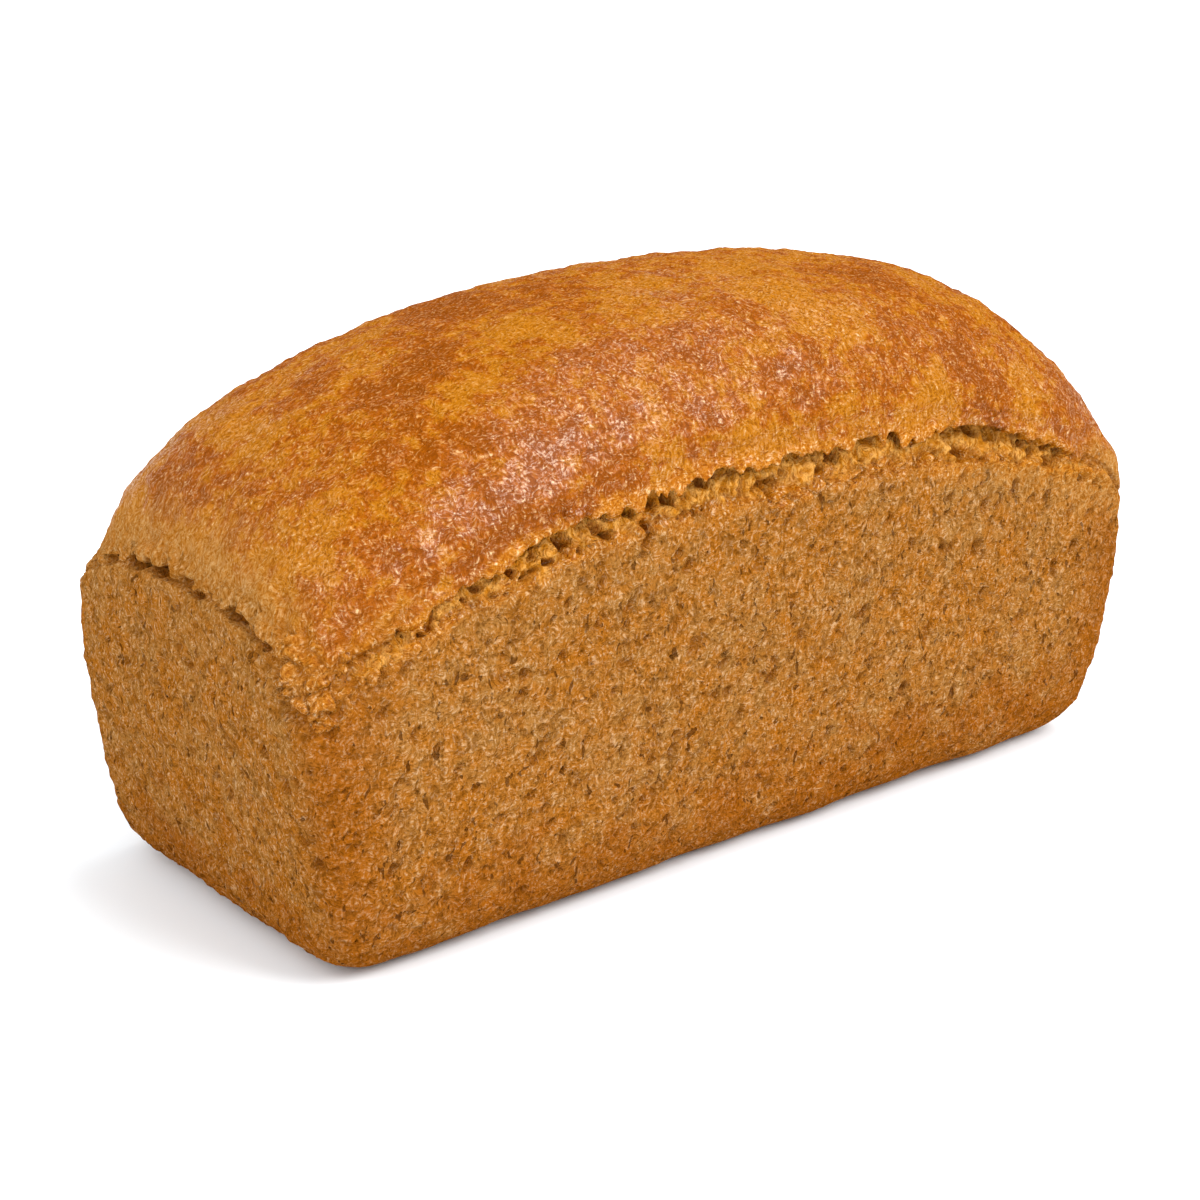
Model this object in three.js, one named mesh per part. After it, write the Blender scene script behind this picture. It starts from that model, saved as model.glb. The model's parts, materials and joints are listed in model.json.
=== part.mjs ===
// A tin loaf: wholemeal bread baked in one piece in a flared loaf tin, its crust torn open along the front.
// Millimetres, +Z up. X runs along the loaf, the big tear faces -Y, the origin is the centre of the base.
import * as THREE from "three";
import { ParametricGeometry } from "three/addons/geometries/ParametricGeometry.js";

// Driving dimensions of the walls, which take the tin's shape
const LENGTH = 251; // end to end at GAUGE_HEIGHT, before the bow
const WIDTH = 105.7; // front to back at GAUGE_HEIGHT
const GAUGE_HEIGHT = 65;
const END_FLARE = 0.074; // how far an end wall leans out for each mm of height
const SIDE_FLARE = 0.058; // the same for the front and back walls
const END_BOW = 2.1; // how far an end wall swells out, halfway up to BOW_TOP
const SIDE_BOW = 1.1;
const BOW_TOP = 90; // the height at which the swelling has died away
const CORNER_RADIUS = 9.5;
const BASE_EDGE_RADIUS = 13.4;

// The edge of the crust, lowest at the four corners, where the dough rounded off
const CORNER_HEIGHT = 68.2;
const END_ARCH = 14.8; // how much higher the edge is at the middle of an end
const FRONT_ARCH = 33.5;
const BACK_ARCH = 27.4;
const ARCH_POWER = 2.8;

// The domed crust inside that edge
const TOP_HEIGHT = 133.5;
const HIGH_END_RISE = 3.1; // how much the +X end of the dome is lifted, and the other end lowered
const DOME_POWER_X = 1.45;
const DOME_POWER_Y = 2.1;
const DOME_BLUNTNESS = 0.545;

// The torn band between the top of the wall and the edge of the crust
const CREASE_GAP = 1.4; // its height at the ends and corners
const FRONT_GAP = 10.5; // its height at the middle of the front
const BACK_GAP = 4.5;
const CREASE_DEPTH = 1.2;
const DEPTH_PER_GAP = 0.25; // how much deeper the band is for each mm of height
const LIP_INSET = 0.6; // how far the wall's top and the crust's lip turn in
const UNDER_LIP = 0.85; // the share of the band's height at which it turns out under the lip
const BAND_FOOT = 0.3; // the share of the height up to which it is still shallow
const FOOT_DEPTH = 0.6; // its depth there, as a share of the full depth

// How finely the surface is divided
const LONG_STEPS = 24;
const END_STEPS = 11;
const CORNER_STEPS = 5;
const BASE_EDGE_STEPS = 5;
const WALL_STEPS = 6;
const DOME_STEPS = 16;
const DOME_CROWDING = 1.7; // packs the dome's rings towards the lip

const ORIGIN = new THREE.Vector2();

// The stops around the outline. Each has its place on the walls' straight core, as a share of the core's half
// sizes, and the way that the wall faces there.
function outlineStops() {
  const stops = [];
  for (let side = 0; side < 4; side++) {
    const along = new THREE.Vector2(1, 0).rotateAround(ORIGIN, (side * Math.PI) / 2);
    const facing = new THREE.Vector2(along.y, -along.x);
    const steps = side % 2 ? END_STEPS : LONG_STEPS;
    for (let i = 0; i < steps; i++) {
      const share = (2 * i) / steps - 1;
      stops.push({ core: facing.clone().addScaledVector(along, share), facing });
    }
    for (let i = 0; i < CORNER_STEPS; i++) {
      const turned = facing.clone().rotateAround(ORIGIN, (i / CORNER_STEPS) * (Math.PI / 2));
      stops.push({ core: facing.clone().add(along), facing: turned });
    }
  }
  stops.push(stops[0]);
  return stops;
}

// A point of the wall's face at a height, moved inwards by an inset.
function wallPoint(stop, z, inset = 0) {
  const lean = z - GAUGE_HEIGHT;
  const bow = Math.sin(Math.PI * THREE.MathUtils.clamp(z / BOW_TOP, 0, 1)) ** 2;
  const coreX = LENGTH / 2 + END_FLARE * lean + END_BOW * bow - CORNER_RADIUS;
  const coreY = WIDTH / 2 + SIDE_FLARE * lean + SIDE_BOW * bow - CORNER_RADIUS;
  const reach = CORNER_RADIUS - inset;
  const x = stop.core.x * coreX + stop.facing.x * reach;
  const y = stop.core.y * coreY + stop.facing.y * reach;
  return new THREE.Vector3(x, y, z);
}

// The stop's place in the square that the whole plan fills: -1 to 1 both ways.
function unitPlace(stop) {
  const cornerX = CORNER_RADIUS / (LENGTH / 2);
  const cornerY = CORNER_RADIUS / (WIDTH / 2);
  const x = stop.core.x * (1 - cornerX) + stop.facing.x * cornerX;
  const y = stop.core.y * (1 - cornerY) + stop.facing.y * cornerY;
  return new THREE.Vector2(x, y);
}

// 0 at the front face, 1 at the back.
const backShare = (unitY) => (1 + unitY) / 2;

// How high the edge of the crust would lie over a place in that square: it arches along each side.
function edgeHeight(place) {
  const sideArch = THREE.MathUtils.lerp(FRONT_ARCH, BACK_ARCH, backShare(place.y));
  const alongSide = 1 - Math.abs(place.x) ** ARCH_POWER;
  const alongEnd = 1 - Math.abs(place.y) ** ARCH_POWER;
  return CORNER_HEIGHT + sideArch * alongSide + END_ARCH * alongEnd;
}

// 1 in the middle of that square, falling to 0 on its sides.
function fullness(place) {
  return (1 - Math.abs(place.x) ** DOME_POWER_X) * (1 - Math.abs(place.y) ** DOME_POWER_Y);
}

// The crust's height over a stop drawn in towards the middle by a share: its edge at 1, the crown at 0.
function crustHeight(stop, share) {
  const outer = unitPlace(stop);
  const place = outer.clone().multiplyScalar(share);
  const inward = (fullness(place) - fullness(outer)) / (1 - fullness(outer));
  const swell = Math.max(0, inward) ** DOME_BLUNTNESS;
  return THREE.MathUtils.lerp(edgeHeight(place), TOP_HEIGHT + HIGH_END_RISE * place.x, swell);
}

// The tear at a stop: the wall's top, the lip above it, and the height and depth of the band between them.
function tearAt(stop) {
  const { x, y } = unitPlace(stop);
  const lip = crustHeight(stop, 1);
  const sideGap = THREE.MathUtils.lerp(FRONT_GAP, BACK_GAP, backShare(y)) - CREASE_GAP;
  const gap = CREASE_GAP + sideGap * (1 - Math.abs(x) ** ARCH_POWER);
  return { rim: lip - gap, lip, gap, depth: CREASE_DEPTH + DEPTH_PER_GAP * gap };
}

// A ring of the base's rounded edge, by its angle from the flat base.
function baseEdgeRing(angle) {
  const inset = BASE_EDGE_RADIUS * (1 - Math.sin(angle));
  const z = BASE_EDGE_RADIUS * (1 - Math.cos(angle));
  const shrink = new THREE.Vector3(1 - inset / (LENGTH / 2), 1 - inset / (WIDTH / 2), 1);
  return (stop) => wallPoint(stop, z).multiply(shrink);
}

// A ring of the wall, as a share of the way from the base's edge to just under the wall's top.
function wallRing(share) {
  return (stop) => {
    const top = tearAt(stop).rim - LIP_INSET;
    return wallPoint(stop, THREE.MathUtils.lerp(BASE_EDGE_RADIUS, top, share));
  };
}

// A ring inside the torn band, as shares of the band's height and depth.
function bandRing(share, depthShare) {
  return (stop) => {
    const { rim, gap, depth } = tearAt(stop);
    return wallPoint(stop, rim + gap * share, depth * depthShare);
  };
}

// A ring of the domed crust: the lip's outline drawn in towards the middle by a share.
function domeRing(share) {
  return (stop) => {
    const { x, y } = wallPoint(stop, tearAt(stop).lip, LIP_INSET);
    return new THREE.Vector3(x * share, y * share, crustHeight(stop, share));
  };
}

// Every ring of the surface, from the centre of the base to the crown.
function loafRings() {
  const rings = [() => new THREE.Vector3(0, 0, 0)];
  for (let i = 0; i <= BASE_EDGE_STEPS; i++) rings.push(baseEdgeRing((i / BASE_EDGE_STEPS) * (Math.PI / 2)));
  for (let i = 1; i <= WALL_STEPS; i++) rings.push(wallRing(i / WALL_STEPS));
  rings.push((stop) => wallPoint(stop, tearAt(stop).rim, LIP_INSET));
  rings.push(bandRing(BAND_FOOT, FOOT_DEPTH), bandRing(UNDER_LIP, 1));
  for (let i = 0; i <= DOME_STEPS; i++) rings.push(domeRing(1 - (i / DOME_STEPS) ** DOME_CROWDING));
  return rings;
}

function loafGeometry() {
  const stops = outlineStops();
  const rings = loafRings();
  const surface = (u, v, target) => {
    const stop = stops[Math.round(u * (stops.length - 1))];
    const ring = rings[Math.round(v * (rings.length - 1))];
    target.copy(ring(stop));
  };
  const geometry = new ParametricGeometry(surface, stops.length - 1, rings.length - 1);
  geometry.computeVertexNormals();
  return geometry;
}

const breadCrust = new THREE.MeshStandardMaterial({ color: 0xb97634, roughness: 0.7, metalness: 0 });

const loaf = new THREE.Mesh(loafGeometry(), breadCrust);
loaf.name = "loaf";

const tinLoaf = new THREE.Group();
tinLoaf.add(loaf);

export default tinLoaf;
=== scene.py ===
import json
import math
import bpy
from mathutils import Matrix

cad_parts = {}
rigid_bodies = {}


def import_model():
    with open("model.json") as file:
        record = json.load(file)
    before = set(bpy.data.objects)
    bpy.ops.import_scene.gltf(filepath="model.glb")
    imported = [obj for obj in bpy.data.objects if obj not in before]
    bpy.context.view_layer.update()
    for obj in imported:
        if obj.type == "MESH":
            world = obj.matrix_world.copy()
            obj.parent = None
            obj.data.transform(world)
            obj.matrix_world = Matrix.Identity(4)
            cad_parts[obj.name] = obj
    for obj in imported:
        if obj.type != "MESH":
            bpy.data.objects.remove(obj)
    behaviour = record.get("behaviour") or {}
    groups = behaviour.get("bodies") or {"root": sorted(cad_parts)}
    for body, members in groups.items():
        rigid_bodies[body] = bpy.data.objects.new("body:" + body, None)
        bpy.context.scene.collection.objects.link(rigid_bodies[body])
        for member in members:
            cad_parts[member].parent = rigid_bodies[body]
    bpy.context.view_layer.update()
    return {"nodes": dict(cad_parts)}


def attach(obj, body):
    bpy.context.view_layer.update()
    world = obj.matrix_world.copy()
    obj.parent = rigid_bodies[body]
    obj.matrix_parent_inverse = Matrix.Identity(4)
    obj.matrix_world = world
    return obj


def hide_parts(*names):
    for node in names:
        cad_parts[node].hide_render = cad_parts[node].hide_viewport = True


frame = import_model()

from types import SimpleNamespace

import bpy
import numpy as np
from mathutils import Vector
from mathutils.bvhtree import BVHTree

# A wholemeal tin loaf. Sizes are in millimetres, turned to metres by MM where Blender takes them.
MM = 0.001

# The loaf's driving dimensions, as in the CAD model.
LENGTH = 251
WIDTH = 105.7
GAUGE_HEIGHT = 65
END_FLARE = 0.074
SIDE_FLARE = 0.058
END_BOW = 2.1
SIDE_BOW = 1.1
BOW_TOP = 90
CORNER_RADIUS = 9.5
CORNER_HEIGHT = 68.2
END_ARCH = 14.8
FRONT_ARCH = 33.5
BACK_ARCH = 27.4
ARCH_POWER = 2.8
TOP_HEIGHT = 133.5
HIGH_END_RISE = 3.1
DOME_POWER_X = 1.45
DOME_POWER_Y = 2.1
DOME_BLUNTNESS = 0.545
CREASE_GAP = 1.4
FRONT_GAP = 10.5
BACK_GAP = 4.5
LIP_INSET = 0.6

# How finely the skin is made, what share of its faces is kept, and how close two points count as one.
SKIN_VOXEL = 0.60
SKIN_KEPT = 0.24
WELD = 0.02

# The ragged lip of crust that hangs over the tear.
LIP_STEPS_ROUND = 1500
LIP_SHEET_SHARES = (0.955, 0.965, 0.975, 0.985, 0.993, 1.0)
LIP_HEM_ROWS = 5
LIP_THICKNESS = 1.5
LIP_ROOT_SINK = 1.3
LIP_RAISE = 2.6
LIP_RAISE_REACH = 14
LIP_CURL = 0.9
LIP_BURIED_DEPTH = 2.0
HEM_HANG = 2.0
FRONT_HANG = 2.2
HEM_WAVE_LEVEL = 50
DRIP_SPACING = 6.5
DRIP_SHIFT = 0.75
FRONT_DRIP = 4.2
CREASE_DRIP = 2.8
TOOTH_SPACING = 2.6
TOOTH_HEIGHT = 2.8


# ---------------------------------------------------------------- noise

HASH_STRIDES = (374761393, 668265263, 1440662683, 1274126177)
HASH_MIXERS = (2246822519, 3266489917)
HASH_BITS = 0xFFFFFFFF


def lattice_hash(ix, iy, iz, seed):
    """A well mixed whole number for each lattice point."""
    mixed = sum(part * stride for part, stride in zip((ix, iy, iz, seed), HASH_STRIDES)) & HASH_BITS
    mixed = ((mixed ^ (mixed >> 15)) * HASH_MIXERS[0]) & HASH_BITS
    mixed = ((mixed ^ (mixed >> 13)) * HASH_MIXERS[1]) & HASH_BITS
    return mixed ^ (mixed >> 16)


def ripple(points, size, seed=0):
    """Smooth noise from about -1 to 1. Size is how far apart its lumps are: a number, or one per axis."""
    scaled = points / np.asarray(size, float)
    cell = np.floor(scaled).astype(np.int64)
    local = scaled - cell
    fade = local * local * local * (local * (local * 6 - 15) + 10)
    total = np.zeros(len(points))
    for corner in np.ndindex(2, 2, 2):
        code = lattice_hash(*(cell + corner).T, seed)
        away = local - corner
        signs = [np.where(code >> bit & 1, 1.0, -1.0) for bit in range(3)]
        push = signs[0] * away[:, 0] + signs[1] * away[:, 1] + signs[2] * away[:, 2]
        weight = np.prod(np.where(corner, fade, 1 - fade), axis=1)
        total += weight * push
    return total


def fractal(points, size, octaves, seed=0, roughness=0.5):
    """Ripples on ripples, each half the size of the last."""
    total, strength = np.zeros(len(points)), 1.0
    for octave in range(octaves):
        total += strength * ripple(points, np.asarray(size, float) / 2 ** octave, seed + octave)
        strength *= roughness
    return total


def cells(points, size, seed=0):
    """How far the nearest of many scattered seeds is, as a share of size, and a number for that seed."""
    scaled = points / np.asarray(size, float)
    cell = np.floor(scaled).astype(np.int64)
    nearest = np.full(len(points), 9.0)
    name = np.zeros(len(points))
    for step in np.ndindex(3, 3, 3):
        there = cell + step - 1
        code = lattice_hash(*there.T, seed)
        spot = np.stack([code & 1023, code >> 10 & 1023, code >> 20 & 1023], axis=1) / 1023
        distance = np.linalg.norm(there + spot - scaled, axis=1)
        name = np.where(distance < nearest, (code >> 5 & 4095) / 4095, name)
        nearest = np.minimum(nearest, distance)
    return nearest, name


def warp(points, size, seed=0):
    """A smooth push in a varying direction."""
    return np.stack([ripple(points, size, seed + 100 * axis) for axis in (1, 2, 3)], axis=1)


def smoothstep(low, high, value):
    """0 at low, 1 at high, smooth in between."""
    share = np.clip((value - low) / (high - low), 0, 1)
    return share * share * (3 - 2 * share)


# ---------------------------------------------------------------- the shape that the tin gave

def half_sizes(z):
    """How far the end walls and the long walls stand from the middle at a height."""
    lean = z - GAUGE_HEIGHT
    bow = np.sin(np.pi * np.clip(z / BOW_TOP, 0, 1)) ** 2
    return LENGTH / 2 + END_FLARE * lean + END_BOW * bow, WIDTH / 2 + SIDE_FLARE * lean + SIDE_BOW * bow


def unit_place(co):
    """Each point's place across the plan at its own height: -1 to 1 both ways."""
    half_x, half_y = half_sizes(co[:, 2])
    return co[:, 0] / half_x, co[:, 1] / half_y


def tear_lines(unit_x, unit_y):
    """The heights of the wall's top and of the crust's lip, on the outline nearest each place."""
    reach = np.maximum(np.maximum(abs(unit_x), abs(unit_y)), 1e-6)
    x, y = unit_x / reach, unit_y / reach
    back = (1 + y) / 2
    along_side = 1 - abs(x) ** ARCH_POWER
    along_end = 1 - abs(y) ** ARCH_POWER
    side_arch = FRONT_ARCH + (BACK_ARCH - FRONT_ARCH) * back
    side_gap = FRONT_GAP + (BACK_GAP - FRONT_GAP) * back
    lip = CORNER_HEIGHT + side_arch * along_side + END_ARCH * along_end
    gap = CREASE_GAP + (side_gap - CREASE_GAP) * along_side
    return lip - gap, lip


def edge_height(x, y):
    """The height of the dome with no swell, at a unit place: the lip's line carried inwards."""
    side_arch = FRONT_ARCH + (BACK_ARCH - FRONT_ARCH) * (1 + y) / 2
    return CORNER_HEIGHT + side_arch * (1 - abs(x) ** ARCH_POWER) + END_ARCH * (1 - abs(y) ** ARCH_POWER)


def fullness(x, y):
    """How full the dome is at a unit place: 1 in the middle, 0 at the edges."""
    return (1 - abs(x) ** DOME_POWER_X) * (1 - abs(y) ** DOME_POWER_Y)


def outline(steps):
    """Even steps round the walls: places on their core, the ways they face, and the distance gone."""
    core_x, core_y = LENGTH / 2 - CORNER_RADIUS, WIDTH / 2 - CORNER_RADIUS
    bend = CORNER_RADIUS * math.pi / 2
    lengths = [2 * core_x, bend, 2 * core_y, bend] * 2
    ends = np.cumsum(lengths)
    gone = np.arange(steps) / (steps - 1) * ends[-1]
    run = np.minimum(np.searchsorted(ends, gone, side="right"), len(ends) - 1)
    share = (gone - ends[run]) / np.asarray(lengths)[run] + 1
    side = run // 2
    turn = np.where(run % 2, share, 0) * math.pi / 2 + side * math.pi / 2
    facing = np.stack([np.sin(turn), -np.cos(turn)], axis=1)
    start = side * math.pi / 2
    out = np.stack([np.sin(start), -np.cos(start)], axis=1)
    along = np.stack([np.cos(start), np.sin(start)], axis=1)
    core = out + along * np.where(run % 2, 1, 2 * share - 1)[:, None]
    return core, facing, gone


def wall_points(core, facing, z, inset):
    """Places on the walls at a height, moved in by an inset."""
    half_x, half_y = half_sizes(z)
    reach = CORNER_RADIUS - inset
    x = core[:, 0] * (half_x - CORNER_RADIUS) + facing[:, 0] * reach
    y = core[:, 1] * (half_y - CORNER_RADIUS) + facing[:, 1] * reach
    return np.stack([x, y, z], axis=1)


# ---------------------------------------------------------------- modelling helpers

def only(obj):
    """Selects one object alone and makes it active."""
    bpy.ops.object.select_all(action="DESELECT")
    obj.select_set(True)
    bpy.context.view_layer.objects.active = obj


def modify(obj, kind, **settings):
    """Adds a modifier and applies it."""
    only(obj)
    modifier = obj.modifiers.new(kind.lower(), kind)
    for name, value in settings.items():
        setattr(modifier, name, value)
    bpy.ops.object.modifier_apply(modifier=modifier.name)


def read_points(obj):
    co = np.empty(len(obj.data.vertices) * 3)
    obj.data.vertices.foreach_get("co", co)
    return co.reshape(-1, 3) / MM


def read_normals(obj):
    normals = np.empty(len(obj.data.vertices) * 3)
    obj.data.vertex_normals.foreach_get("vector", normals)
    return normals.reshape(-1, 3)


def write_points(obj, co):
    obj.data.vertices.foreach_set("co", (co * MM).ravel())
    obj.data.update()


# ---------------------------------------------------------------- the dough

def raw_dough():
    """The CAD loaf's own skin, welded, turned to quads, rounded, and raised a little over the tear."""
    source = frame["nodes"]["loaf"]
    dough = source.copy()
    dough.data = source.data.copy()
    dough.name = dough.data.name = "tin_loaf"
    dough.parent = None
    for key in list(dough.keys()):
        del dough[key]
    bpy.context.scene.collection.objects.link(dough)
    only(dough)
    bpy.ops.object.mode_set(mode="EDIT")
    bpy.ops.mesh.select_all(action="SELECT")
    bpy.ops.mesh.remove_doubles(threshold=WELD * MM)
    bpy.ops.mesh.tris_convert_to_quads(face_threshold=math.radians(60), shape_threshold=math.radians(170))
    bpy.ops.object.mode_set(mode="OBJECT")
    modify(dough, "SUBSURF", levels=2, render_levels=2)
    co = read_points(dough)
    place = regions(co)
    up = np.clip(place.above_rim / place.gap, 0, 1)
    down = np.clip((LIP_RAISE_REACH - place.above_lip) / LIP_RAISE_REACH, 0, 1)
    co[:, 2] += LIP_RAISE * (0.45 + 0.55 * place.front) * up * down
    write_points(dough, co)
    return dough


def front_share(co):
    """1 on the front wall where it tore wide open, falling to 0 at the corners and on the other walls."""
    unit_x, unit_y = unit_place(co)
    along = smoothstep(0.96, 0.74, abs(unit_x))
    return along * smoothstep(-0.55, -0.8, unit_y)


def arches(gone, spacing, seed):
    """Arches of uneven width and height between the points of the drips: 0 at each point."""
    random = np.random.default_rng(seed)
    count = int(gone[-1] / spacing)
    shifts = (random.random(count) - 0.5) * DRIP_SHIFT
    points = (np.arange(count) + 0.5 + shifts) * gone[-1] / count
    points = np.concatenate([[0], points, [gone[-1]]])
    heights = 0.25 + 0.75 * random.random(count + 1)
    arch = np.clip(np.searchsorted(points, gone, side="right") - 1, 0, count)
    span = points[arch + 1] - points[arch]
    share = np.clip((gone - points[arch]) / span, 0, 1)
    return np.sin(np.pi * share) * heights[arch] * np.minimum(span / spacing, 1.3)


def hem_drop(co, gone):
    """How far the ragged hem of the crust hangs below the lip's own line, round the outline."""
    front = front_share(co)
    drip = CREASE_DRIP + (FRONT_DRIP - CREASE_DRIP) * front
    rise = drip * arches(gone, DRIP_SPACING, seed=11)
    rise += TOOTH_HEIGHT * arches(gone, TOOTH_SPACING, seed=12)
    wave = (0.8 + 3.0 * front) * ripple(co, 19, seed=3)
    wave += 1.2 * ripple(co, 6, seed=4) + 0.9 * ripple(co, 2.2, seed=5)
    return HEM_HANG + FRONT_HANG * front - rise + wave


def sheet_ring(share, edge, facing, unit_x, unit_y):
    """One ring of the sheet on the dome, share of the way out. Its root sinks into the dough."""
    rim_fullness = fullness(unit_x, unit_y)
    swell = (fullness(unit_x * share, unit_y * share) - rim_fullness) / (1 - rim_fullness)
    height = edge_height(unit_x * share, unit_y * share)
    crown = TOP_HEIGHT + HIGH_END_RISE * unit_x * share
    height += (crown - height) * np.clip(swell, 0, 1) ** DOME_BLUNTNESS
    sink = LIP_ROOT_SINK * (1 - (share - LIP_SHEET_SHARES[0]) / (1 - LIP_SHEET_SHARES[0]))
    ring = np.stack([edge[:, 0] * share, edge[:, 1] * share, height - sink], axis=1)
    ring[:, :2] -= facing * sink
    return ring


def lip_rings():
    """The thin sheet of crust, ring by ring: out over the dome's edge, then down to the ragged hem."""
    core, facing, gone = outline(LIP_STEPS_ROUND)
    nominal = wall_points(core, facing, np.full(len(gone), float(GAUGE_HEIGHT)), 0)
    unit_x, unit_y = unit_place(nominal)
    _, line = tear_lines(unit_x, unit_y)
    edge = wall_points(core, facing, line, LIP_INSET)
    buried = smoothstep(0.76, 0.90, abs(unit_x))
    level_edge = edge * (1, 1, 0) + (0, 0, HEM_WAVE_LEVEL)
    hem = line - hem_drop(level_edge, gone) * (1 - 0.8 * buried)
    rings = [sheet_ring(share, edge, facing, unit_x, unit_y) for share in LIP_SHEET_SHARES]
    for row in range(1, LIP_HEM_ROWS + 1):
        share = row / LIP_HEM_ROWS
        z = line + (hem - line) * share
        curl = LIP_CURL * (1 + ripple(np.stack([edge[:, 0], edge[:, 1], z], axis=1), 6, seed=8))
        out = (curl * (1 - buried) - LIP_BURIED_DEPTH * buried) * share
        rings.append(wall_points(core, facing, z, LIP_INSET - out))
    return rings


def ragged_lip():
    """A thin sheet of crust that leaves the dome just above the tear and hangs over it in drips."""
    rings = lip_rings()
    bpy.ops.object.select_all(action="DESELECT")
    around, across = LIP_STEPS_ROUND - 1, len(rings) - 1
    bpy.ops.mesh.primitive_grid_add(x_subdivisions=around, y_subdivisions=across, size=1)
    lip = bpy.context.object
    lip.name = "ragged_lip"
    write_points(lip, np.concatenate(rings))
    only(lip)
    bpy.ops.object.mode_set(mode="EDIT")
    bpy.ops.mesh.select_all(action="SELECT")
    bpy.ops.mesh.remove_doubles(threshold=WELD * MM)
    bpy.ops.mesh.normals_make_consistent(inside=False)
    bpy.ops.object.mode_set(mode="OBJECT")
    modify(lip, "SOLIDIFY", thickness=LIP_THICKNESS * MM, offset=-1)
    return lip


# ---------------------------------------------------------------- the surface of the bread

# How far apart the walls' pits lie, each with its seed and how rare it is.
WALL_PITS = ((6.5, 30, 0.72), (4.4, 34, 0.55), (2.9, 37, 0.45))
PIT_LENGTHENING = 1.5
PIT_DEPTH = 0.36

# Larger burst bubbles in the front wall: (x, z, radius, depth), and where that wall begins.
BURST_BUBBLES = (
    (-25, 60, 2.0, 1.6), (-45, 60, 1.7, 1.3), (-31, 66, 1.5, 1.0), (8, 55, 1.8, 1.3),
    (56, 53, 1.9, 1.6), (71, 51, 1.5, 1.2), (97, 52, 1.9, 1.7), (92, 54, 1.2, 0.9),
)
FRONT_WALL_Y = -45

# The hollows in the torn band, as spacing and seed, and how deep they go.
TORN_HOLLOWS = ((9.0, 41), (5.0, 54))
HOLLOW_DEPTH = 3.6
LUMP_SPACING = (3.3, 3.3, 2.8)
END_SLOT_DEPTH = 3.8
BACK_CREASE_DEPTH = 3.0

# How far the rest of the skin is worked.
BROAD_SWELL = 0.8
SMALL_SWELL = 0.45
WRINKLE_HEIGHT = 0.48
WRINKLE_SINK = 0.2
CRUMPLE_HEIGHT = 0.5
FIBRE_HEIGHT = 1.2
FIBRE_SPACING = (1.7, 1.7, 6.0)
CLOT_HEIGHT = 1.3
RECESS_DEPTH = 1.7
RECESS_WAVE = 1.3
LUMP_HEIGHT = 2.6
FLAKE_RAGGEDNESS = 1.5


def regions(co):
    """Where each point lies: its heights over the tear's edges, and shares that several steps use."""
    unit_x, unit_y = unit_place(co)
    rim, lip = tear_lines(unit_x, unit_y)
    half_x, half_y = half_sizes(co[:, 2])
    front_side = -co[:, 1] / (WIDTH / 2)
    return SimpleNamespace(
        unit_x=unit_x, unit_y=unit_y, gap=lip - rim, above_rim=co[:, 2] - rim, above_lip=co[:, 2] - lip,
        inset=np.minimum(half_x - abs(co[:, 0]), half_y - abs(co[:, 1])),
        front=front_share(co), front_side=front_side,
        face_front=smoothstep(0.55, 0.85, front_side),
        far_corner=smoothstep(0.84, 0.94, co[:, 0] / (LENGTH / 2)) * smoothstep(0.6, 0.9, front_side),
    )


def broad_relief(co, place):
    """Broad unevenness everywhere, and small wrinkles on the crust."""
    dome = smoothstep(0, 6, place.above_lip)
    uneven = BROAD_SWELL * ripple(co, 36, seed=20) + SMALL_SWELL * ripple(co, 14, seed=21)
    return uneven + dome * (WRINKLE_HEIGHT * fractal(co, 8, 3, seed=22, roughness=0.7) - WRINKLE_SINK)


def wall_relief(co, place):
    """Shallow crumples and scattered small pits in the walls, and how deep the pits are."""
    wall = smoothstep(1.0, -1.5, place.above_rim) * smoothstep(1.5, 6, co[:, 2])
    tilt = np.stack([co[:, 0] - 0.5 * co[:, 2], co[:, 1] - 0.35 * co[:, 2], co[:, 2]], axis=1)
    crowding = smoothstep(-0.3, 0.4, ripple(co, 30, seed=32))
    pits = np.zeros(len(co))
    for size, seed, rarity in WALL_PITS:
        spacing = (size, size, size * PIT_LENGTHENING)
        near, name = cells(tilt + 0.9 * warp(co, 2.4, seed), spacing, seed=seed)
        radius = 0.14 + 0.18 * name
        depth = PIT_DEPTH * size * smoothstep(rarity, rarity + 0.35, name + 0.3 * crowding)
        pits = np.maximum(pits, depth * smoothstep(radius, 0.45 * radius, near))
    for x, z, size, depth in BURST_BUBBLES:
        rise = co[:, 2] - z
        away = np.hypot(co[:, 0] - x - 0.4 * rise, rise * 0.8) + 1.1 * ripple(co, 2.2, seed=33)
        burst = depth * smoothstep(1.2 * size, 0.4 * size, away)
        pits = np.maximum(pits, burst * (co[:, 1] < FRONT_WALL_Y))
    pits *= wall
    return wall * CRUMPLE_HEIGHT * fractal(tilt, (2.4, 2.4, 3.8), 2, seed=31) - pits, pits


def torn_hollows(co):
    hollow = np.zeros(len(co))
    for size, seed in TORN_HOLLOWS:
        near, name = cells(co + 1.6 * warp(co, 3.5, 47), (size, size, size * 0.8), seed=seed)
        near += 0.14 * ripple(co, 1.8, seed=55)
        pocket = smoothstep(0.30 + 0.18 * name, 0.16, near) * smoothstep(0.3, 0.6, name)
        hollow = np.maximum(hollow, pocket)
    return hollow


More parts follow.
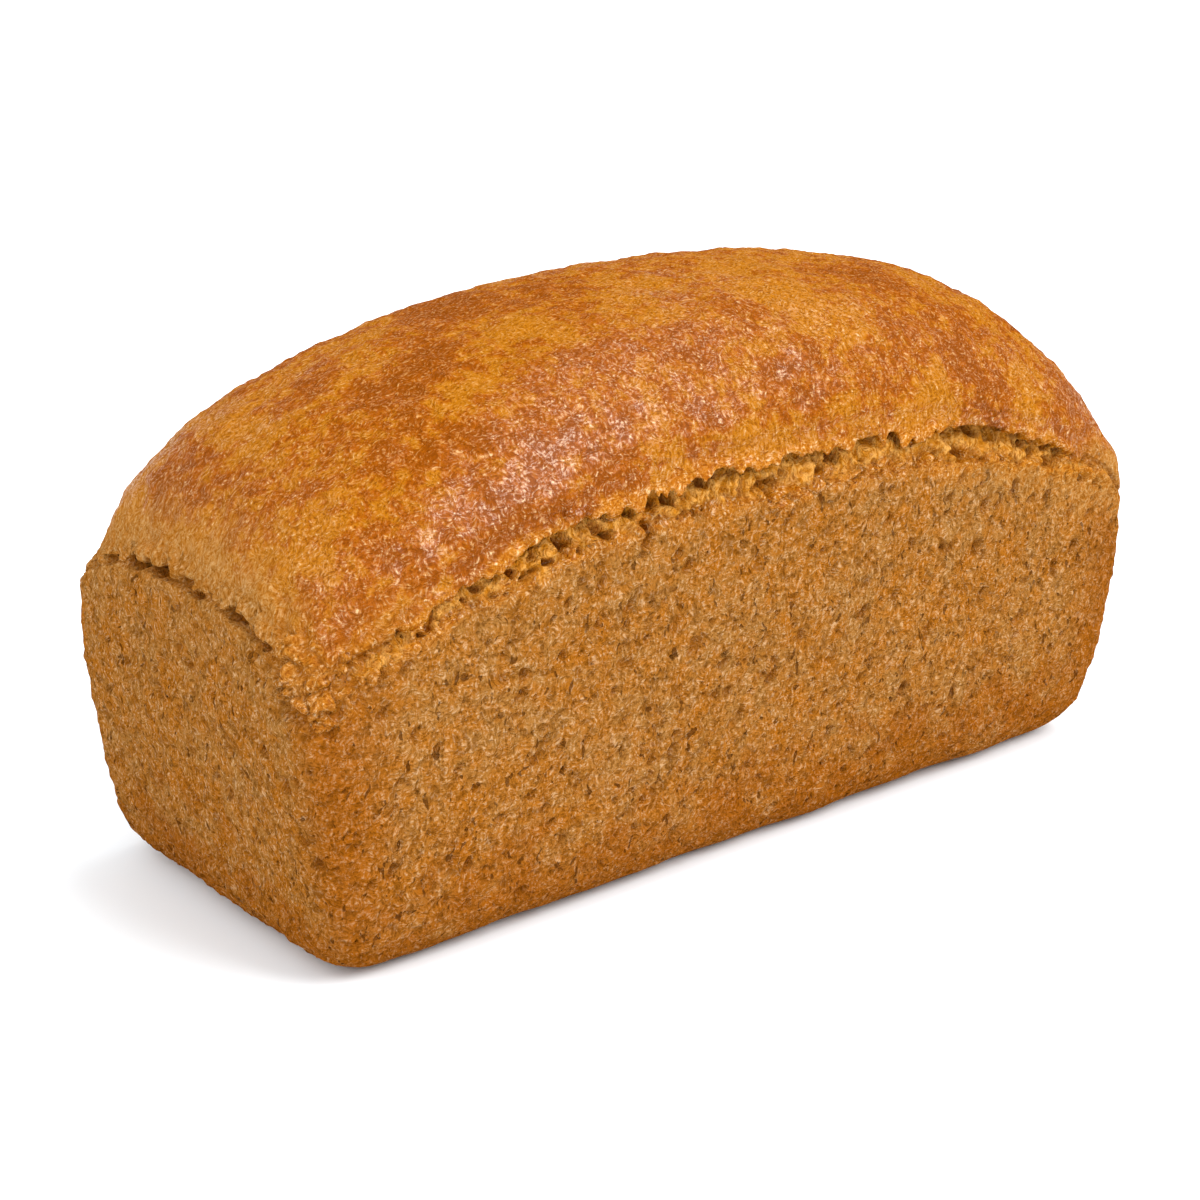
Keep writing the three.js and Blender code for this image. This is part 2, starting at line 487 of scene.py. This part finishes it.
def torn_relief(co, place):
    """The torn band: fibres, and hollows under the lip, and the painted shade in the hollows and just
    under the lip.
    """
    share_up = np.clip(place.above_rim / np.maximum(place.gap, 0.1), 0, 1)
    opening = place.band * place.front
    hollow = torn_hollows(co)
    under = smoothstep(0.3, 0.9, share_up) * (0.35 + 0.65 * place.front)
    fibres = FIBRE_HEIGHT * ripple(co, FIBRE_SPACING, seed=40) + CLOT_HEIGHT * ripple(co, 4.5, seed=50)
    relief = place.band * smoothstep(2, 5, place.gap) * fibres - opening * hollow * HOLLOW_DEPTH
    relief -= place.band * under * (RECESS_DEPTH + RECESS_WAVE * ripple(co, 9, seed=42))
    # Painted shade in the hollows and just under the lip.
    shade = opening * np.maximum(0.85 * hollow, 0.75 * smoothstep(0.66, 1.0, share_up))
    return relief, shade


def small_lumps(co):
    near, name = cells(co + 1.5 * warp(co, 3.4, 48), LUMP_SPACING, seed=43)
    return smoothstep(0.85, 0.25, near) * (0.3 + 0.9 * name)


def ridge_share(co, place):
    """The ragged line of lumps along the foot of the tear."""
    wave = 3.0 * ripple(co, 12, seed=49)
    ridge = np.exp(-((place.above_rim - 1.5 + wave) / 3.0) ** 2)
    return ridge * (1 - place.on_lip) * (1 - place.far_corner)


def shelf_share(co, place):
    """The rough shelf at the near corner, where the tear runs out."""
    corner = smoothstep(0.74, 0.95, -co[:, 0] / (LENGTH / 2)) * place.face_front
    return corner * smoothstep(-12, -3, place.above_rim) * smoothstep(18, 4, place.above_rim)


def lumpy_relief(co, place):
    """The ridge, the shelf, and the band past the ends of the wide tear."""
    relief = place.ridge * (LUMP_HEIGHT * place.lumps - 1.0) * (0.3 + 0.7 * smoothstep(2, 7, place.gap))
    relief += place.band * place.face_front * (1 - place.front) * (0.5 + 0.2 * place.gap)
    return relief + place.shelf * (LUMP_HEIGHT * place.lumps - 1.6 + ripple(co, 5, seed=44))


def crease_relief(co, place):
    """A shallow crease at the back, and open gaps under ragged flakes at the ends, with painted shade in
    the crease and the gaps.
    """
    back = np.exp(-((place.above_rim - 0.45 * place.gap - 0.8) / 1.8) ** 2)
    back *= (1 - place.front) * (1 - place.on_lip) * (1 - place.shelf)
    back *= smoothstep(-0.45, 0.25, ripple(co, 9, seed=45)) * (1 - place.end)
    flat = co * (1, 1, 0)
    wide = smoothstep(-0.05, 0.30, ripple(flat, 10, seed=45))
    foot = 0.2 + 0.8 * ripple(flat, 5, seed=52) + 0.6 * ripple(flat, 2, seed=58)
    ragged = 1.8 + 1.5 * ripple(flat, 4.5, seed=46) + 1.4 * ripple(flat, 1.9, seed=53)
    hem = foot + 0.3 + wide * ragged
    slot = smoothstep(foot - 0.5, foot + 0.4, place.above_rim)
    slot *= smoothstep(hem + 0.35, hem - 0.35, place.above_rim) * (0.2 + 0.8 * wide) * place.end
    flakes = smoothstep(hem - 0.3, hem + 0.3, place.above_rim) * place.end
    flakes *= smoothstep(hem + 6, hem + 1, place.above_rim)
    relief = flakes * (0.5 + FLAKE_RAGGEDNESS * fractal(co, (3.0, 3.0, 5.5), 2, seed=56))
    relief -= BACK_CREASE_DEPTH * back + END_SLOT_DEPTH * slot
    rounded = place.end * smoothstep(0.62, 0.88, abs(co[:, 1]) / (WIDTH / 2))
    over_rim = smoothstep(-0.5, 1.5, place.above_rim) * smoothstep(20, 6, place.above_rim)
    relief -= (0.8 * place.end + 1.6 * rounded) * over_rim
    # The second value is the share of painted shade in the crease and the gaps.
    return relief, np.maximum(back, slot), flakes


def work_surface(obj, lip_tree):
    """Presses the bubbles, the torn crumb, the lumps and the crust's wrinkles into the skin."""
    co = read_points(obj)
    place = regions(co)
    place.on_lip = smoothstep(1.2, 0.7, distance_to(lip_tree, co))
    place.band = smoothstep(-1.5, 0.5, place.above_rim) * smoothstep(3, 0, place.above_lip)
    place.band *= 1 - place.on_lip
    place.lumps = small_lumps(co)
    place.ridge, place.shelf = ridge_share(co, place), shelf_share(co, place)
    place.end = smoothstep(0.88, 0.96, abs(place.unit_x)) * (1 - place.shelf) * (1 - place.far_corner)

    walls, pits = wall_relief(co, place)
    torn, shade = torn_relief(co, place)
    creases, crease, flakes = crease_relief(co, place)
    move = broad_relief(co, place) + walls + torn + lumpy_relief(co, place) + creases
    settled = smoothstep(0.4, 3.0, co[:, 2])  # the flat base stays flat
    worked = co + read_normals(obj) * (move * settled)[:, None]
    worked[:, 2] = np.maximum(worked[:, 2], 0)
    write_points(obj, worked)

    # Painted shade: darker in the torn band's hollows and just under the lip, in the back crease and the
    # end gaps, between the shelf's lumps and in the walls' pits.
    between_lumps = 0.8 * place.shelf * smoothstep(0.35, 0.05, place.lumps)
    hollow = np.maximum(np.maximum(shade, crease), np.maximum(between_lumps, 0.3 * pits))
    lump = np.maximum(place.ridge * smoothstep(2, 6, place.gap), 0.45 * place.shelf)
    add_shares(obj, {"hollow": hollow, "lump": lump * smoothstep(0.15, 0.75, place.lumps)})
    hem = place.on_lip * smoothstep(3.5, 1.0, place.above_lip)
    detail = np.maximum(np.maximum(place.band, place.ridge), np.maximum(np.maximum(hem, crease), flakes))
    seen = np.maximum(place.face_front, place.end)
    weigh(obj, "plain", 1 - smoothstep(0.25, 0.6, detail * seen))


def weigh(obj, name, weights, steps=4):
    """A vertex group of the points that have some weight."""
    group = obj.vertex_groups.new(name=name)
    for step in range(1, steps + 1):
        chosen = np.flatnonzero(np.round(weights * steps) == step)
        group.add(chosen.tolist(), step / steps, "REPLACE")


def distance_to(tree, co, reach=3):
    """How far each point is from a skin, up to a reach."""
    found = (tree.find_nearest(Vector(point), reach * MM) for point in co * MM)
    return np.array([hit[3] / MM if hit[3] is not None else reach for hit in found])


def add_shares(obj, shares):
    for name, values in shares.items():
        layer = obj.data.attributes.new(name, "FLOAT", "POINT")
        layer.data.foreach_set("value", np.clip(values, 0, 1).astype(np.float32))


def crust_and_crumb(place):
    """The baked crust, and the torn crumb in the open tear."""
    pale_edge = (1 - place.front) * 9
    crust = smoothstep(0.2 * pale_edge, 3 + pale_edge, place.above_lip + 2.5 * place.ragged)
    crust = np.maximum(crust, place.on_lip * place.front)
    crumb = smoothstep(0.3, 3.3, place.above_rim + 4.0 * place.ragged) * (1 - place.on_lip)
    crumb *= smoothstep(1.5, -1.0, place.above_lip) * smoothstep(1.6, 3.6, place.gap)
    return crust, crumb * smoothstep(-0.6, 1.0, place.inset + 1.2 * place.ragged)


def amber_share(place):
    """The browned hem, the lumps along the foot of the tear, and the shelf at the near corner."""
    hem = place.on_lip * smoothstep(1.0, -2.0, place.above_lip + 2.5 * place.ragged)
    hem *= 0.35 + 0.65 * place.front
    ridge = np.exp(-((place.above_rim + 0.3 + 3.0 * place.ragged) / 2.6) ** 2)
    ridge *= smoothstep(2, 6, place.gap) * (1 - place.on_lip)
    shelf = place.near_corner * smoothstep(-7, -1, place.above_rim + 6 * place.ragged)
    shelf *= smoothstep(18, 6, place.above_rim)
    return np.maximum(hem, np.maximum(0.65 * ridge, 0.4 * shelf))


def glazed_share(co, place):
    """Where the glaze is thickest: along the crust's shoulder, and at the lip."""
    shoulder = np.exp(-((place.above_lip - 17 + 8 * place.ragged) / 15) ** 2)
    shoulder *= 0.55 + 0.45 * np.exp(-((co[:, 0] + 58) / 42) ** 2)
    return np.maximum(shoulder, 0.8 * smoothstep(7, 2, place.above_lip + 3 * place.ragged))


def flank_share(place):
    """Pale stretched dough over the creases, and the golden top of the front wall at its far end."""
    flank = np.exp(-((place.above_rim - 7 + 5 * place.ragged) / 8) ** 2)
    flank *= (1 - place.front) * (1 - place.near_corner)
    golden = smoothstep(-16, -1, place.above_rim + 7 * place.ragged) * smoothstep(3, 0, place.above_rim)
    golden *= smoothstep(0.30, 0.65, place.unit_x) * (place.unit_y < 0)
    return np.maximum(flank, 0.9 * golden)


def toasted_share(co, place):
    """The walls' foot and upright edges, which the tin baked darkest."""
    foot = smoothstep(34, 3, co[:, 2] + 15 * place.ragged)
    edges = smoothstep(0.80, 1.0, np.minimum(abs(place.unit_x) * 1.03, abs(place.unit_y)))
    return np.maximum(foot, edges) * smoothstep(4, -6, place.above_rim)


def mark_surface(obj, lip_tree):
    """Stores the shares that the finish reads."""
    co = read_points(obj)
    place = regions(co)
    place.ragged = fractal(co, 9, 3, seed=60)
    place.on_lip = smoothstep(1.3, 0.8, distance_to(lip_tree, co)) * (place.inset < 2.6)
    near_end = smoothstep(0.75, 0.97, -co[:, 0] / (LENGTH / 2))
    place.near_corner = near_end * smoothstep(0.65, 0.95, place.front_side)
    crust, crumb = crust_and_crumb(place)
    add_shares(obj, {
        "crust": crust, "crumb": crumb, "amber": amber_share(place), "glazed": glazed_share(co, place),
        "flank": flank_share(place), "toasted": toasted_share(co, place),
    })


def drop_crumbs(obj):
    """Deletes the specks that came loose from the body."""
    highest = int(np.argmax(read_points(obj)[:, 2]))
    only(obj)
    bpy.ops.object.mode_set(mode="EDIT")
    bpy.ops.mesh.select_mode(type="VERT")
    bpy.ops.mesh.select_all(action="DESELECT")
    bpy.ops.object.mode_set(mode="OBJECT")
    obj.data.vertices[highest].select = True
    bpy.ops.object.mode_set(mode="EDIT")
    bpy.ops.mesh.select_linked()
    bpy.ops.mesh.select_all(action="INVERT")
    bpy.ops.mesh.delete(type="VERT")
    bpy.ops.object.mode_set(mode="OBJECT")


def loaf_skin():
    dough = raw_dough()
    lip = ragged_lip()
    lip_tree = BVHTree.FromObject(lip, bpy.context.evaluated_depsgraph_get())
    only(dough)
    lip.select_set(True)
    bpy.ops.object.join()
    modify(dough, "REMESH", mode="VOXEL", voxel_size=SKIN_VOXEL * MM)
    work_surface(dough, lip_tree)
    modify(dough, "DECIMATE", ratio=SKIN_KEPT, vertex_group="plain")
    drop_crumbs(dough)
    mark_surface(dough, lip_tree)
    only(dough)
    bpy.ops.object.shade_smooth()
    return dough


# ---------------------------------------------------------------- shader maths

class Value:
    """A shader socket that sums, differences and products can be written with."""

    def __init__(self, finish, socket):
        self.finish, self.socket = finish, socket

    def maths(self, operation, *others, clamp=False):
        settings = {"operation": operation, "use_clamp": clamp}
        return self.finish.node("ShaderNodeMath", settings, dict(enumerate((self, *others))))

    def __add__(self, other): return self.maths("ADD", other)
    def __radd__(self, other): return self.maths("ADD", other)
    def __sub__(self, other): return self.maths("SUBTRACT", other)
    def __rsub__(self, other): return self.finish.number(other).maths("SUBTRACT", self)
    def __mul__(self, other): return self.maths("MULTIPLY", other)
    def __rmul__(self, other): return self.maths("MULTIPLY", other)

    def between(self, low, high):
        """0 at low, 1 at high, smooth in between."""
        inputs = {"Value": self, "From Min": low, "From Max": high}
        return self.finish.node("ShaderNodeMapRange", {"interpolation_type": "SMOOTHSTEP"}, inputs)

    def clamped(self): return self.maths("ADD", 0.0, clamp=True)
    def most(self, other): return self.maths("MAXIMUM", other)


# A colour Mix node's sockets, by their places in its lists.
MIX_FACTOR, MIX_UNDER, MIX_OVER, MIX_RESULT = 0, 6, 7, 2


class Finish:
    """One material, built by adding nodes."""

    def __init__(self, name):
        self.material = bpy.data.materials.new(name)
        self.material.use_nodes = True
        self.tree = self.material.node_tree
        self.shader = self.tree.nodes["Principled BSDF"]

    def node(self, kind, settings=None, inputs=None, output=0):
        node = self.tree.nodes.new(kind)
        for name, value in (settings or {}).items():
            setattr(node, name, value)
        for name, value in (inputs or {}).items():
            self.plug(node.inputs[name], value)
        return Value(self, node.outputs[output])

    def plug(self, socket, value):
        if isinstance(value, Value):
            self.tree.links.new(value.socket, socket)
        else:
            socket.default_value = value

    def number(self, value):
        return self.node("ShaderNodeMath", {"operation": "ADD"}, {0: value, 1: 0.0})

    def share(self, name):
        return self.node("ShaderNodeAttribute", {"attribute_name": name}, output="Fac")

    def mix(self, factor, under, over):
        """The colour under, covered by the colour over where factor is 1."""
        inputs = {MIX_FACTOR: factor, MIX_UNDER: under, MIX_OVER: over}
        return self.node("ShaderNodeMix", {"data_type": "RGBA"}, inputs, output=MIX_RESULT)

    def vectors(self, operation, first, second):
        """Vector maths. The second of a SCALE is a number."""
        inputs = {0: first, "Scale" if operation == "SCALE" else 1: second}
        return self.node("ShaderNodeVectorMath", {"operation": operation}, inputs)

    def turned(self, vector, rotation=(0, 0, 0), scale=(1, 1, 1)):
        inputs = {"Vector": vector, "Rotation": rotation, "Scale": scale}
        return self.node("ShaderNodeMapping", None, inputs)

    def noise(self, vector, size, detail=2.0, roughness=0.5, output="Fac"):
        """Noise whose lumps are about size millimetres across."""
        inputs = {"Vector": vector, "Scale": 1 / (size * MM), "Detail": detail, "Roughness": roughness}
        return self.node("ShaderNodeTexNoise", None, inputs, output)

    def swirled(self, vector, size, push):
        """The same places, each pushed by up to half of push millimetres in a direction that wanders."""
        wander = self.noise(vector, size, detail=1.0, output="Color")
        centred = self.vectors("SUBTRACT", wander, (0.5, 0.5, 0.5))
        return self.vectors("ADD", vector, self.vectors("SCALE", centred, push * MM))

    def set(self, **values):
        for name, value in values.items():
            self.plug(self.shader.inputs[name.replace("_", " ")], value)


def colour(red, green, blue):
    return (red, green, blue, 1.0)


# ---------------------------------------------------------------- the baked finish

WALL_TAN = colour(0.312, 0.136, 0.029)
WALL_OCHRE = colour(0.335, 0.110, 0.008)
WALL_BROWN = colour(0.110, 0.033, 0.002)
WALL_FIBRE_AND_HIGHLIGHT = colour(0.590, 0.360, 0.185)
WALL_TOASTED = colour(0.264, 0.070, 0.002)
# Painted shade for the small pits.
PIT_SHADE = colour(0.070, 0.020, 0.003)
BRAN = colour(0.092, 0.023, 0.004)
CRUST_ORANGE = colour(0.297, 0.071, 0.001)
CRUST_GOLD = colour(0.384, 0.132, 0.004)
CRUST_BROWN = colour(0.160, 0.036, 0.001)
CRUST_GLINT = colour(0.560, 0.270, 0.060)
# Painted glints of the glaze.
PAINTED_GLINT = colour(0.850, 0.600, 0.330)
CRUMB_CREAM = colour(0.715, 0.350, 0.078)
CRUMB_SHADE = colour(0.470, 0.168, 0.009)
HOLLOW_SHADE = colour(0.270, 0.078, 0.002)
AMBER = colour(0.540, 0.205, 0.008)
FLANK_PALE = colour(0.475, 0.248, 0.075)

# The fine grain, in millimetres, and how far the finish's own relief stands up.
STROKE_SIZE = 0.72
HAIR_SIZE = 0.56
THREAD_SIZE = 1.2
SPECK_SIZE = 1.9
BRAN_SIZE = 2.2
CRUMPLE_SIZE = 2.4
MOTTLE_SIZE = 4.0
PATCH_SIZE = 4.5
BROAD_SIZE = 20
BLUSH_SIZE = 24
RELIEF_HEIGHT = 1.15

# How rough the bread is, and its thin glaze.
BREAD_ROUGHNESS = 0.85
GLOSS_SMOOTHING = 0.3
LEAST_GLAZE = 0.22
GLAZE_ROUGHNESS = 0.33


def bread_grain(bread):
    """Short strokes that turn this way and that, as a baked skin's fibres do, crumples and small pits."""
    place = bread.node("ShaderNodeTexCoord", output="Object")
    swirl = bread.swirled(place, 5, 4.5)
    leaning = bread.turned(swirl, rotation=(-0.35, 0.6, 0), scale=(1, 1, 0.4))
    crossing = bread.turned(bread.swirled(place, 3.5, 4), rotation=(0.7, -0.5, 0.4), scale=(0.42, 1, 1))
    strokes = bread.noise(leaning, STROKE_SIZE, detail=3, roughness=0.62)
    hairs = bread.noise(crossing, HAIR_SIZE, detail=2, roughness=0.6)
    return SimpleNamespace(
        place=place, swirl=swirl, fine=strokes * 0.52 + hairs * 0.48,
        crumple=bread.noise(bread.swirled(place, 7, 6), CRUMPLE_SIZE),
        pits=bread.noise(leaning, SPECK_SIZE, roughness=0.55).between(0.36, 0.29),
    )


def wall_look(bread, grain, toasted):
    """Tan dough with ochre patches, brown strokes that are partly painted shade, pale fibres that are
    partly painted highlight, painted shade in the crumples' dents and the small pits, and specks of bran.
    """
    broad = bread.noise(grain.place, BROAD_SIZE).between(0.36, 0.64)
    patch = bread.noise(grain.place, PATCH_SIZE, detail=3, roughness=0.6).between(0.38, 0.62)
    bran = bread.noise(grain.place, BRAN_SIZE, detail=1).between(0.71, 0.77)
    fibres = grain.fine.between(0.50, 0.66) * (0.72 - toasted * 0.32)
    wall = bread.mix(patch * 0.65 + broad * 0.35, WALL_TAN, WALL_OCHRE)
    wall = bread.mix(toasted * 0.8, wall, WALL_TOASTED)
    # Brown strokes in the grain's grooves, partly painted shade.
    wall = bread.mix(grain.fine.between(0.50, 0.37) * 0.68, wall, WALL_BROWN)
    # Pale fibres on the grain's ridges, partly painted highlight.
    wall = bread.mix(fibres, wall, WALL_FIBRE_AND_HIGHLIGHT)
    # Painted shade in the crumples' dents.
    wall = bread.mix(grain.crumple.between(0.47, 0.34) * 0.45, wall, WALL_BROWN)
    # Painted shade in the small pits.
    wall = bread.mix(grain.pits * 0.75, wall, PIT_SHADE)
    return bread.mix(bran * 0.5, wall, BRAN)


def crust_look(bread, grain, glaze_share):
    """Mottled orange and gold, with brown flecks that crowd into darker patches, golden strokes on the
    ridges that are partly painted glint, and painted glints of the glaze.
    """
    blush = bread.noise(grain.place, BLUSH_SIZE, detail=1)
    mottle = bread.noise(bread.swirled(grain.place, 9, 5), MOTTLE_SIZE, detail=3, roughness=0.6)
    mottle += (blush - 0.5) * 0.9
    crust = bread.mix(mottle.between(0.42, 0.64), CRUST_ORANGE, CRUST_GOLD)
    crust = bread.mix(mottle.between(0.46, 0.32) * 0.45, crust, CRUST_BROWN)
    crust = bread.mix(grain.fine.between(0.50, 0.38) * 0.65, crust, CRUST_BROWN)
    # Golden strokes on the grain's ridges, partly painted glint.
    crust = bread.mix(grain.fine.between(0.51, 0.64) * 0.55, crust, CRUST_GLINT)
    # Painted glints of the glaze on the highest strokes.
    return bread.mix(grain.fine.between(0.60, 0.68) * glaze_share * 0.65, crust, PAINTED_GLINT)


def torn_look(bread, grain, threads):
    """Cream crumb, pulled into threads, with shade between them."""
    torn = bread.mix(threads.between(0.60, 0.40), CRUMB_CREAM, CRUMB_SHADE)
    return bread.mix(grain.fine.between(0.50, 0.38) * 0.6, torn, HOLLOW_SHADE)


def amber_look(bread, grain):
    """The glazed hem and lumps, where the dough browned and dried in drops, with painted glints."""
    amber = bread.mix(grain.fine.between(0.36, 0.62), CRUST_ORANGE, AMBER)
    # Painted glints on the hem and lumps.
    return bread.mix(grain.fine.between(0.56, 0.66) * 0.7, amber, PAINTED_GLINT)


def baked_bread():
    bread = Finish("baked_bread")
    grain = bread_grain(bread)
    crust, crumb, flank, hollow = (bread.share(name) for name in ("crust", "crumb", "flank", "hollow"))
    amber = (bread.share("amber") + bread.share("lump") * 0.7).clamped()
    glaze_share = (bread.share("glazed") + LEAST_GLAZE).clamped()
    drawn_out = bread.turned(grain.swirl, scale=(1, 1, 0.3))
    threads = bread.noise(drawn_out, THREAD_SIZE, detail=3, roughness=0.6)
    stretched = bread.mix(grain.fine.between(0.38, 0.60), WALL_OCHRE, FLANK_PALE)

    wall = wall_look(bread, grain, bread.share("toasted"))
    look = bread.mix(crust, wall, crust_look(bread, grain, glaze_share))
    look = bread.mix(flank * 0.6, look, stretched)
    look = bread.mix(amber * 0.85, look, amber_look(bread, grain))
    look = bread.mix(crumb * 0.9, look, torn_look(bread, grain, threads))
    # Painted shade in the hollows, the crease and gaps, the pits, between the lumps and just under the
    # lip.
    look = bread.mix(hollow * 0.85, look, HOLLOW_SHADE)

    # Relief finer than the skin's own mesh.
    relief = grain.fine + grain.crumple * (1.1 - crust * 0.6)
    relief += crumb * threads * 0.6 - grain.pits * 0.35 * (1 - crust)
    height = {"Strength": 1.0, "Distance": RELIEF_HEIGHT * MM, "Height": relief}
    bump = bread.node("ShaderNodeBump", None, height, output="Normal")

    # The glaze lies on the ridges of the strokes only, so a broad light breaks into fine glints.
    gloss = crust.most(amber) * (1 - crumb) * (1 - flank * 0.8)
    glaze = gloss * glaze_share * (0.12 + grain.fine.between(0.47, 0.59) * 0.88)
    bread.set(Base_Color=look, Normal=bump, Roughness=BREAD_ROUGHNESS - gloss * GLOSS_SMOOTHING,
              Specular_IOR_Level=0.0, Coat_Weight=glaze, Coat_Roughness=GLAZE_ROUGHNESS)
    return bread.material


# ---------------------------------------------------------------- the loaf, the floor and the light

loaf = loaf_skin()
loaf.data.materials.clear()
loaf.data.materials.append(baked_bread())
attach(loaf, "root")
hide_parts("loaf")

CAMERA_AZIMUTH = -38.52
CAMERA_ELEVATION = 19.44
CAMERA_DISTANCE = 589.1
CAMERA_LENS = 71.24
CAMERA_SENSOR = 36
AIM = (-8.0, 2.6, 51.4)

FLOOR_SIZE = 8000
FLOOR_PALE = colour(0.87, 0.91, 0.94)
FLOOR_ROUGHNESS = 0.9
FLOOR_SHINE = 0.1

# The soft lights: name, azimuth, elevation, width in degrees, and strength.
SOFT_LIGHTS = (
    ("key", 26, 43, 32, 0.79),
    ("top", 95, 66, 36, 0.26),
    ("fill", -72, 42, 44, 0.40),
)
SURROUND_STRENGTH = 1.0


def direction(azimuth, elevation):
    """From the middle of the loaf towards a place that is seen in that direction."""
    turn, rise = math.radians(azimuth), math.radians(elevation)
    return Vector((math.sin(turn) * math.cos(rise), -math.cos(turn) * math.cos(rise), math.sin(rise)))


def add_camera():
    data = bpy.data.cameras.new("camera")
    data.lens = CAMERA_LENS
    data.sensor_width = CAMERA_SENSOR
    camera = bpy.data.objects.new("camera", data)
    bpy.context.scene.collection.objects.link(camera)
    back = direction(CAMERA_AZIMUTH, CAMERA_ELEVATION)
    camera.location = Vector(AIM) * MM + back * CAMERA_DISTANCE * MM
    camera.rotation_euler = (-back).to_track_quat("-Z", "Y").to_euler()
    bpy.context.scene.camera = camera


def add_floor():
    bpy.ops.object.select_all(action="DESELECT")
    bpy.ops.mesh.primitive_plane_add(size=FLOOR_SIZE * MM)
    floor = bpy.context.object
    floor.name = "floor"
    pale = Finish("pale_floor")
    pale.set(Base_Color=FLOOR_PALE, Roughness=FLOOR_ROUGHNESS, Specular_IOR_Level=FLOOR_SHINE)
    floor.data.materials.append(pale.material)


def add_soft_light(name, azimuth, elevation, width, strength):
    """A far, wide light: width is the angle that it fills, in degrees."""
    towards = direction(azimuth, elevation)
    bpy.ops.object.light_add(type="SUN", location=towards)
    light = bpy.context.object
    light.name = name
    light.data.energy = strength * math.pi
    light.data.angle = math.radians(width)
    light.rotation_euler = towards.to_track_quat("Z", "Y").to_euler()


def add_surround():
    world = bpy.data.worlds.new("surround")
    bpy.context.scene.world = world
    world.use_nodes = True
    background = world.node_tree.nodes["Background"]
    background.inputs["Color"].default_value = colour(1, 1, 1)
    background.inputs["Strength"].default_value = SURROUND_STRENGTH


add_camera()
add_floor()
add_surround()
for light in SOFT_LIGHTS:
    add_soft_light(*light)
bpy.context.scene.view_settings.view_transform = "Standard"
